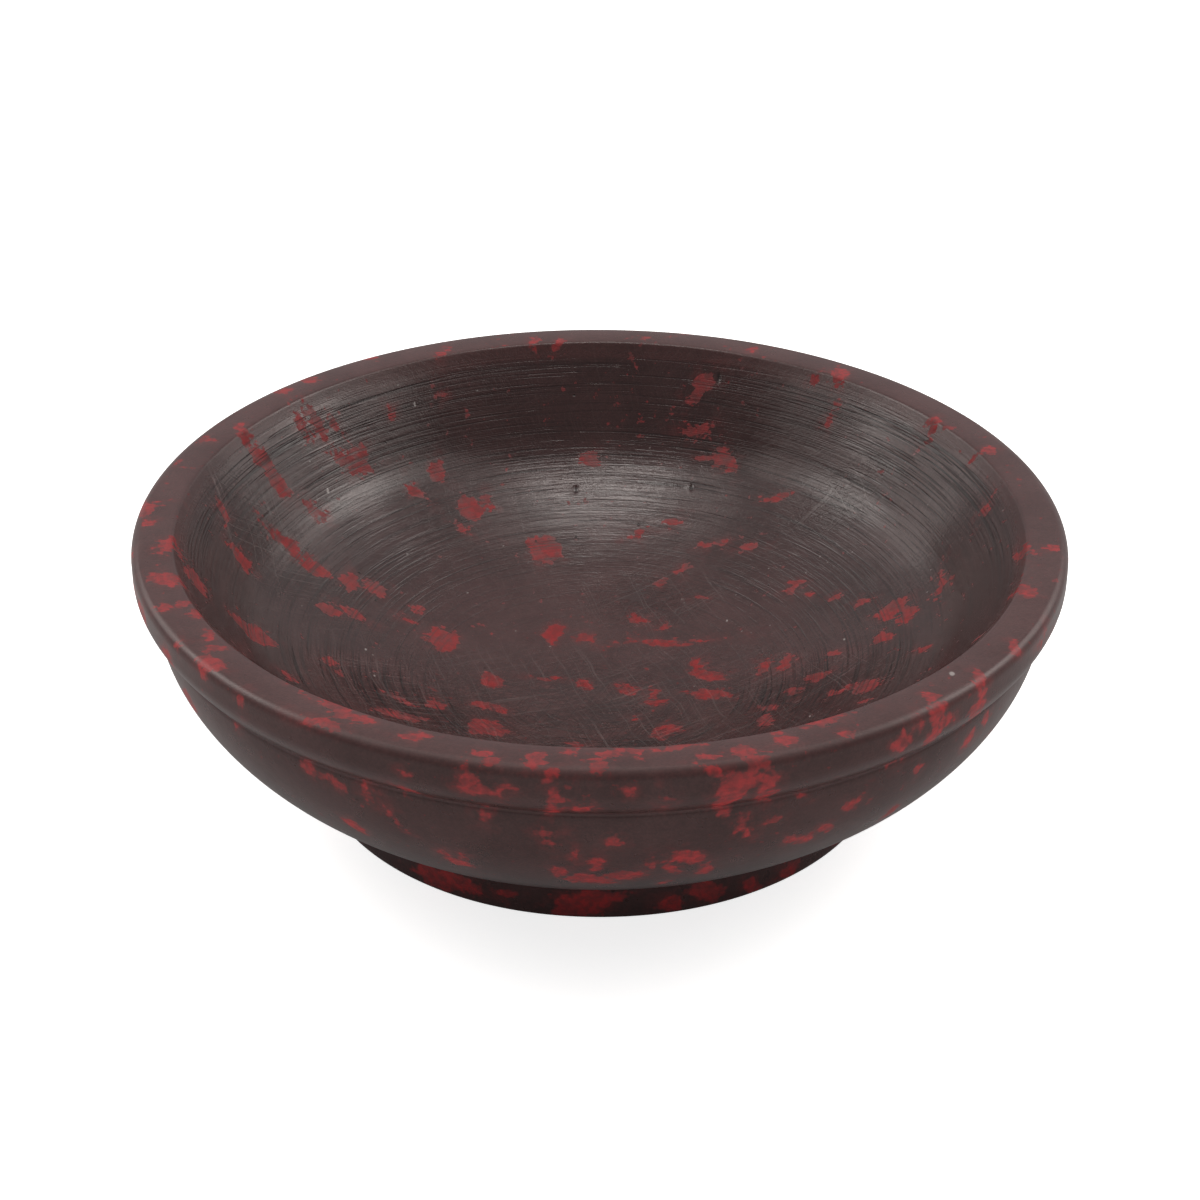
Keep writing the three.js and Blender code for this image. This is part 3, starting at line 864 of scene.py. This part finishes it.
def floor_material():
    """Pale sweep: white with the bowl's soft shadow to the camera, and a softer pale in the stone's gloss."""
    material = bpy.data.materials.new("sweep")
    material.use_nodes = True
    n = Nodes(material.node_tree)
    grain = n.noise(n.new("ShaderNodeTexCoord").outputs["Object"], 30.0, 2.0)

    def paper(level):
        node = n.new("ShaderNodeBsdfDiffuse")
        low, high = 0.97 * level, 1.03 * level
        n.put(node.inputs["Color"], n.mix(grain, (low, low, low), (high, high, high)))
        return node.outputs[0]

    def glowing(level, strength):
        glow = n.new("ShaderNodeEmission")
        glow.inputs["Color"].default_value = (1, 1, 1, 1)
        glow.inputs["Strength"].default_value = strength
        node = n.new("ShaderNodeAddShader")
        n.put(node.inputs[0], paper(level))
        n.put(node.inputs[1], glow.outputs[0])
        return node.outputs[0]

    def blend(factor, a, b):
        node = n.new("ShaderNodeMixShader")
        for socket, value in zip(node.inputs, (factor, a, b)):
            n.put(socket, value)
        return node.outputs[0]

    path = n.new("ShaderNodeLightPath")
    clear = n.math("MAXIMUM", path.outputs["Is Camera Ray"], path.outputs["Is Transmission Ray"])
    thrown = blend(path.outputs["Is Glossy Ray"], paper(PAPER), glowing(PAPER_IN_GLOSS, GLOW_IN_GLOSS))
    out = n.new("ShaderNodeOutputMaterial")
    n.put(out.inputs["Surface"], blend(clear, thrown, glowing(PAPER_SEEN, GLOW_SEEN)))
    return material


# Studio
def area_light(name, azimuth, elevation, distance, size, watts, roll=0.0):
    """A soft box that faces the bowl. Azimuth 0 is behind the bowl and 90 is on its right, in degrees."""
    data = bpy.data.lights.new(name, "AREA")
    data.shape = "RECTANGLE"
    data.size, data.size_y = size
    data.energy = watts
    data.color = LAMP_COLOUR
    light = bpy.data.objects.new(name, data)
    a, e = math.radians(azimuth), math.radians(elevation)
    aim = Vector((0, 0, 0.02))
    towards = Vector((math.sin(a) * math.cos(e), math.cos(a) * math.cos(e), math.sin(e)))
    light.location = aim + distance * towards
    facing = (aim - light.location).to_track_quat("-Z", "Y")
    light.rotation_euler = (facing @ Quaternion((0, 0, 1), math.radians(roll))).to_euler()
    bpy.context.collection.objects.link(light)


def make_lights():
    """A soft box on each side with a brighter middle, and a soft light overhead."""
    for name, side in (("left", -1), ("right", 1)):
        area_light("box_" + name, 71 * side, 39.5, 0.8, size=(0.96, 0.46), watts=2.06, roll=-36 * side)
        area_light("middle_" + name, 72 * side, 42, 0.78, size=(0.30, 0.26), watts=1.02)
    area_light("overhead", 0, 81.5, 0.8, size=(0.58, 0.21), watts=0.71)
    area_light("overhead_middle", 0, 84.8, 0.78, size=(0.26, 0.075), watts=0.72)


def make_floor():
    size = 1.6
    mesh = bpy.data.meshes.new("floor")
    corners = [(-size, -size, 0), (size, -size, 0), (size, size, 0), (-size, size, 0)]
    mesh.from_pydata(corners, [], [(0, 1, 2, 3)])
    floor = bpy.data.objects.new("floor", mesh)
    mesh.materials.append(floor_material())
    bpy.context.collection.objects.link(floor)


def make_room():
    """A room that is white to the camera, paler behind the bowl than on the camera's side."""
    world = bpy.data.worlds.new("room")
    bpy.context.scene.world = world
    world.use_nodes = True
    n = Nodes(world.node_tree)
    split = n.new("ShaderNodeSeparateXYZ")
    n.put(split.inputs[0], n.new("ShaderNodeTexCoord").outputs["Generated"])
    level = n.ramp(split.outputs["Y"], -0.5, 0.4, 0.28, 0.62)
    level = n.times(level, n.line(split.outputs["Z"], 0.5, 0.7))
    path = n.new("ShaderNodeLightPath")
    seen = n.math("MAXIMUM", path.outputs["Is Camera Ray"], path.outputs["Is Transmission Ray"])
    glow = n.new("ShaderNodeBackground")
    glow.inputs["Color"].default_value = (1, 1, 1, 1)
    n.put(glow.inputs["Strength"], n.math("MAXIMUM", seen, level))
    out = n.new("ShaderNodeOutputWorld")
    n.put(out.inputs["Surface"], glow.outputs[0])


make_camera()
bowl = make_bowl()
bowl.data.materials.append(stone_material())
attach(bowl, "root")
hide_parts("bowl")
make_floor()
make_lights()
make_room()

bpy.context.scene.view_settings.view_transform = "Standard"
